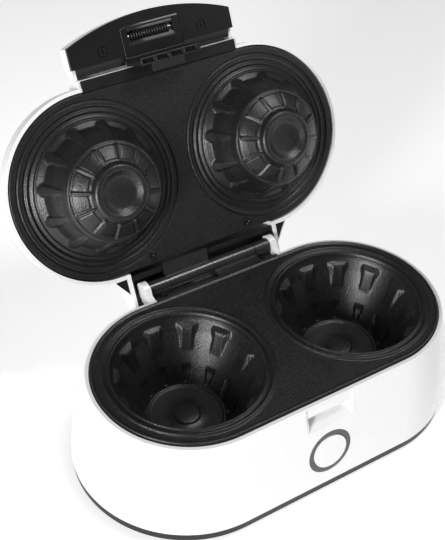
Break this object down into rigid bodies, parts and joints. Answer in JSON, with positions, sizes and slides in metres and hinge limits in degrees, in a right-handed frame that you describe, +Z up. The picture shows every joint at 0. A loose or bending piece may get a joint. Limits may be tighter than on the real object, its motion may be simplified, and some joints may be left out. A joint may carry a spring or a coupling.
{
  "type": "waffle bowl maker",
  "caption": "Countertop twin waffle-bowl maker: hinged lid with two ribbed domes that nest into two deep heated bowls, spring latch and push button.",
  "frame": {"origin": "on the surface it stands on, under the middle of the open appliance (width and depth)", "axes": "+Z up, +X to the right of a person facing the front, -Y towards that person"},
  "size_m": [0.2828, 0.2583, 0.2366],
  "materials": {
    "white_gloss": "smooth glossy white moulding",
    "black_plastic": "fine-textured black moulding",
    "dark_trim": "satin dark grey moulding",
    "foot_rubber": "matt rubber",
    "coated_aluminium": "cast, with a dark satin non-stick coating",
    "heater_sheath": "dull drawn tube",
    "sheet_steel": "pressed sheet",
    "sheet_aluminium": "pressed sheet",
    "screw_steel": "zinc plated",
    "black_screw": "blackened steel",
    "black_metal": "textured black powder coat",
    "spring_steel": "drawn wire",
    "black_spring": "oiled black wire",
    "terminal_nylon": "natural nylon",
    "wire_sleeve": "silicone sleeve"
  },
  "bodies": {
    "base": {"base_shell": "white_gloss", "bottom_cover": "black_plastic", "rubber_feet": "foot_rubber", "bottom_screws": "screw_steel", "lower_mould_plate": "coated_aluminium", "lower_heater_left": "heater_sheath", "lower_heater_right": "heater_sheath", "lower_heat_shield": "sheet_steel", "plate_screws": "screw_steel", "thermostat": "sheet_steel", "thermal_fuse": "sheet_steel", "terminal_block": "terminal_nylon", "base_wires": "wire_sleeve", "cord_gland": "black_plastic", "button_bezel": "dark_trim", "button_spring": "spring_steel", "power_switch": "black_plastic", "hinge_bracket": "black_plastic", "bracket_screws": "black_screw", "hinge_pin": "spring_steel"},
    "button": {"button_cap": "white_gloss"},
    "lid": {"lid_shell": "white_gloss", "upper_mould_plate": "coated_aluminium", "upper_heater_left": "heater_sheath", "upper_heater_right": "heater_sheath", "upper_heat_shield": "sheet_aluminium", "lid_fuse": "sheet_steel", "lid_hinge_leaf": "black_metal", "leaf_screws": "black_screw", "hinge_frame": "black_plastic", "corner_caps": "black_plastic", "front_trim": "black_plastic", "lid_plate_screws": "black_screw", "handle_cover": "black_plastic", "handle_screws": "black_screw", "latch_pin": "spring_steel", "latch_spring": "black_spring"},
    "latch": {"latch_lever": "black_plastic"}
  },
  "joints": [
    {"name": "lid_hinge", "type": "hinge", "parent": "base", "child": "lid", "pos_m": [0, 0.0267, 0.0781], "axis": [1, 0, 0], "range_deg": [0, 118.4]},
    {"name": "latch_rock", "type": "hinge", "parent": "lid", "child": "latch", "pos_m": [0, 0.11376, 0.22145], "axis": [1, 0, 0], "range_deg": [-10, 0], "stiffness_Nm_per_rad": 0.5, "springref_deg": 11.46},
    {"name": "button_press", "type": "slide", "parent": "base", "child": "button", "axis": [0, 0.9877, -0.1564], "range_m": [0, 0.0025], "stiffness_N_per_m": 400, "springref_m": -0.003, "deforming": ["button_spring"]}
  ]
}
